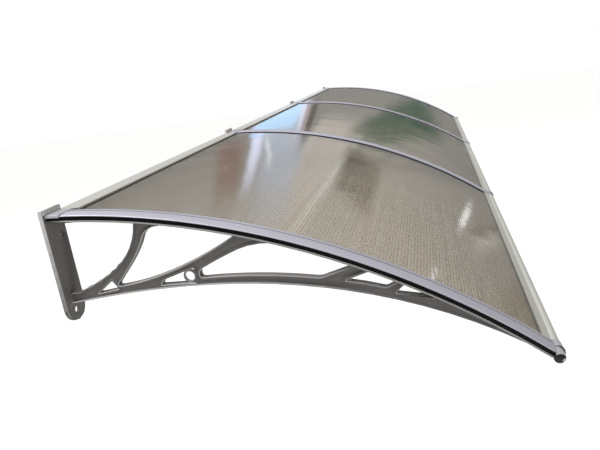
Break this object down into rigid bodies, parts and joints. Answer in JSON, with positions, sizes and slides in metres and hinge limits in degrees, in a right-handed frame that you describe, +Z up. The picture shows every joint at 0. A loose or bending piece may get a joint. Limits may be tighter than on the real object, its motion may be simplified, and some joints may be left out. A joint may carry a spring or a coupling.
{
  "type": "polycarbonate door canopy",
  "caption": "Wall-mounted door canopy: curved bronze polycarbonate sheets on cast brackets, with aluminium cover strips and rails.",
  "frame": {"origin": "middle of the middle rear rail's back face, on the wall plane", "axes": "+X along the wall, +Y out of the back towards the wall, +Z up"},
  "size_m": [3.055, 0.8267, 0.3182],
  "materials": {
    "cast_grey": "die-cast, warm grey powder coat, satin",
    "strip_aluminium": "extruded, satin anodised",
    "rail_aluminium": "extruded, satin anodised",
    "black_rubber": "extruded EPDM, matt",
    "cap_grey": "moulded plastic, light satin",
    "coupler_black": "moulded plastic, half gloss",
    "bronze_sheet": "bronze tinted multiwall polycarbonate, glossy"
  },
  "bodies": {
    "root": {"bracket_1": "cast_grey", "bracket_2": "cast_grey", "bracket_3": "cast_grey", "bracket_4": "cast_grey", "seal_1": "black_rubber", "seal_2": "black_rubber", "seal_3": "black_rubber", "seal_4": "black_rubber", "cover_strip_1": "strip_aluminium", "cover_strip_2": "strip_aluminium", "cover_strip_3": "strip_aluminium", "cover_strip_4": "strip_aluminium", "rear_cap_1": "cap_grey", "rear_cap_2": "cap_grey", "rear_cap_3": "cap_grey", "rear_cap_4": "cap_grey", "sheet_1": "bronze_sheet", "sheet_2": "bronze_sheet", "sheet_3": "bronze_sheet", "rear_rail_1": "rail_aluminium", "rear_rail_2": "rail_aluminium", "rear_rail_3": "rail_aluminium", "rear_wiper_1": "black_rubber", "rear_wiper_2": "black_rubber", "rear_wiper_3": "black_rubber", "front_rail_1": "rail_aluminium", "front_rail_2": "rail_aluminium", "front_rail_3": "rail_aluminium", "front_wiper_1": "black_rubber", "front_wiper_2": "black_rubber", "front_wiper_3": "black_rubber", "front_coupler_1": "coupler_black", "front_coupler_2": "coupler_black", "front_coupler_3": "coupler_black", "front_coupler_4": "coupler_black", "front_cap_1": "cap_grey", "front_cap_2": "cap_grey", "front_cap_3": "cap_grey", "front_cap_4": "cap_grey"}
  },
  "joints": []
}
